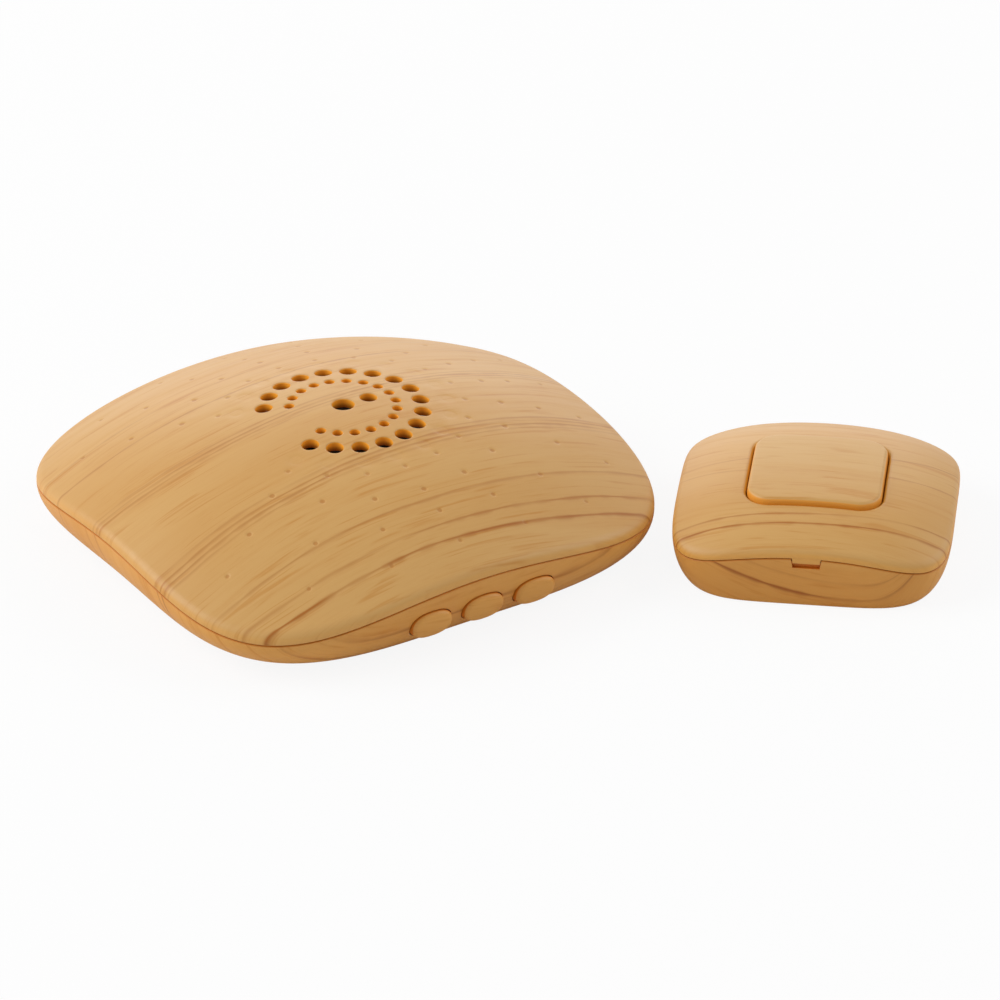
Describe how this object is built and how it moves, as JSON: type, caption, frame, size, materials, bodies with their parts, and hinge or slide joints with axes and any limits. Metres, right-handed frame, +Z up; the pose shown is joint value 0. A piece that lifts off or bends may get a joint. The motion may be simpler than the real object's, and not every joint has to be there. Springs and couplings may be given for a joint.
{
  "type": "wireless doorbell",
  "caption": "Battery wireless doorbell in wood-look plastic: a domed table chime with side keys and an open ring of sound holes, and a small push button unit beside it.",
  "frame": {"origin": "middle of the chime's flat underside, on the surface that both units stand on", "axes": "+X along the chime's key side to the right, +Y from the key side to the back, +Z up; the button unit stands to the right and in front, turned about Z"},
  "size_m": [0.1733, 0.1476, 0.0297],
  "materials": {
    "wood_print": "satin moulded plastic with a printed pine grain",
    "screw_steel": "zinc plated",
    "switch_steel": "pressed tinplate",
    "black_plastic": "moulded",
    "circuit_board": "solder mask",
    "copper_wire": "enamelled copper",
    "capacitor_sleeve": "shrink sleeve",
    "magnet": "blackened",
    "cone_film": "thin film",
    "ivory_plastic": "moulded",
    "lead_red": "insulation",
    "cell_jacket": "printed film over a metal can, bare of marks",
    "contact_nickel": "nickel plated"
  },
  "bodies": {
    "chime": {"chime_cover": "wood_print", "chime_base": "wood_print", "case_screws": "screw_steel", "key_switch_left": "switch_steel", "key_switch_middle": "switch_steel", "key_switch_right": "switch_steel", "main_board": "circuit_board", "board_screws": "screw_steel", "radio_module": "circuit_board", "antenna_coil": "copper_wire", "melody_chip": "black_plastic", "filter_capacitor": "capacitor_sleeve", "speaker_frame": "switch_steel", "speaker_magnet": "magnet", "speaker_retainer": "ivory_plastic", "retainer_screws": "screw_steel", "speaker_leads": "lead_red", "cell_front": "cell_jacket", "cell_rear": "cell_jacket", "spring_front": "contact_nickel", "spring_rear": "contact_nickel", "contact_minus": "contact_nickel", "contact_plus": "contact_nickel", "contact_link": "contact_nickel", "battery_leads": "lead_red"},
    "door": {"battery_door": "wood_print"},
    "left_key": {"side_key_left": "wood_print", "key_plunger_left": "black_plastic"},
    "middle_key": {"side_key_middle": "wood_print", "key_plunger_middle": "black_plastic"},
    "right_key": {"side_key_right": "wood_print", "key_plunger_right": "black_plastic"},
    "cone": {"speaker_cone": "cone_film"},
    "button_unit": {"button_base": "wood_print", "button_switch": "switch_steel", "button_board": "circuit_board", "encoder_chip": "black_plastic", "resonator": "switch_steel", "small_cell": "cell_jacket", "small_spring": "contact_nickel", "small_contact_minus": "contact_nickel", "small_contact_plus": "contact_nickel"},
    "unit_cover": {"button_cover": "wood_print"},
    "bell_key": {"push_key": "wood_print"},
    "bell_plunger": {"button_plunger": "black_plastic"}
  },
  "joints": [
    {"name": "door_hinge", "type": "hinge", "parent": "chime", "child": "door", "pos_m": [0, 0.0058, 0.0013], "axis": [-1, 0, 0], "range_deg": [0, 95]},
    {"name": "left_key_press", "type": "slide", "parent": "chime", "child": "left_key", "axis": [0, 1, 0], "range_m": [0, 0.0005], "stiffness_N_per_m": 3000},
    {"name": "middle_key_press", "type": "slide", "parent": "chime", "child": "middle_key", "axis": [0, 1, 0], "range_m": [0, 0.0005], "stiffness_N_per_m": 3000},
    {"name": "right_key_press", "type": "slide", "parent": "chime", "child": "right_key", "axis": [0, 1, 0], "range_m": [0, 0.0005], "stiffness_N_per_m": 3000},
    {"name": "cone_move", "type": "slide", "parent": "chime", "child": "cone", "axis": [0, 0, 1], "range_m": [-0.00025, 0.00025], "stiffness_N_per_m": 1500},
    {"name": "unit_slide", "type": "slide", "parent": "chime", "child": "button_unit", "axis": [0.7627, -0.6468, 0], "range_m": [0, 0.06]},
    {"name": "cover_lift", "type": "slide", "parent": "button_unit", "child": "unit_cover", "axis": [0, 0, 1], "range_m": [0, 0.02]},
    {"name": "bell_key_press", "type": "slide", "parent": "unit_cover", "child": "bell_key", "axis": [0, 0, -1], "range_m": [0, 0.0005], "stiffness_N_per_m": 3000},
    {"name": "bell_plunger_press", "type": "slide", "parent": "button_unit", "child": "bell_plunger", "axis": [0, 0, -1], "range_m": [0, 0.0005]}
  ],
  "couplings": [
    {"joint": "bell_plunger_press", "follows": "bell_key_press", "ratio": 1}
  ]
}
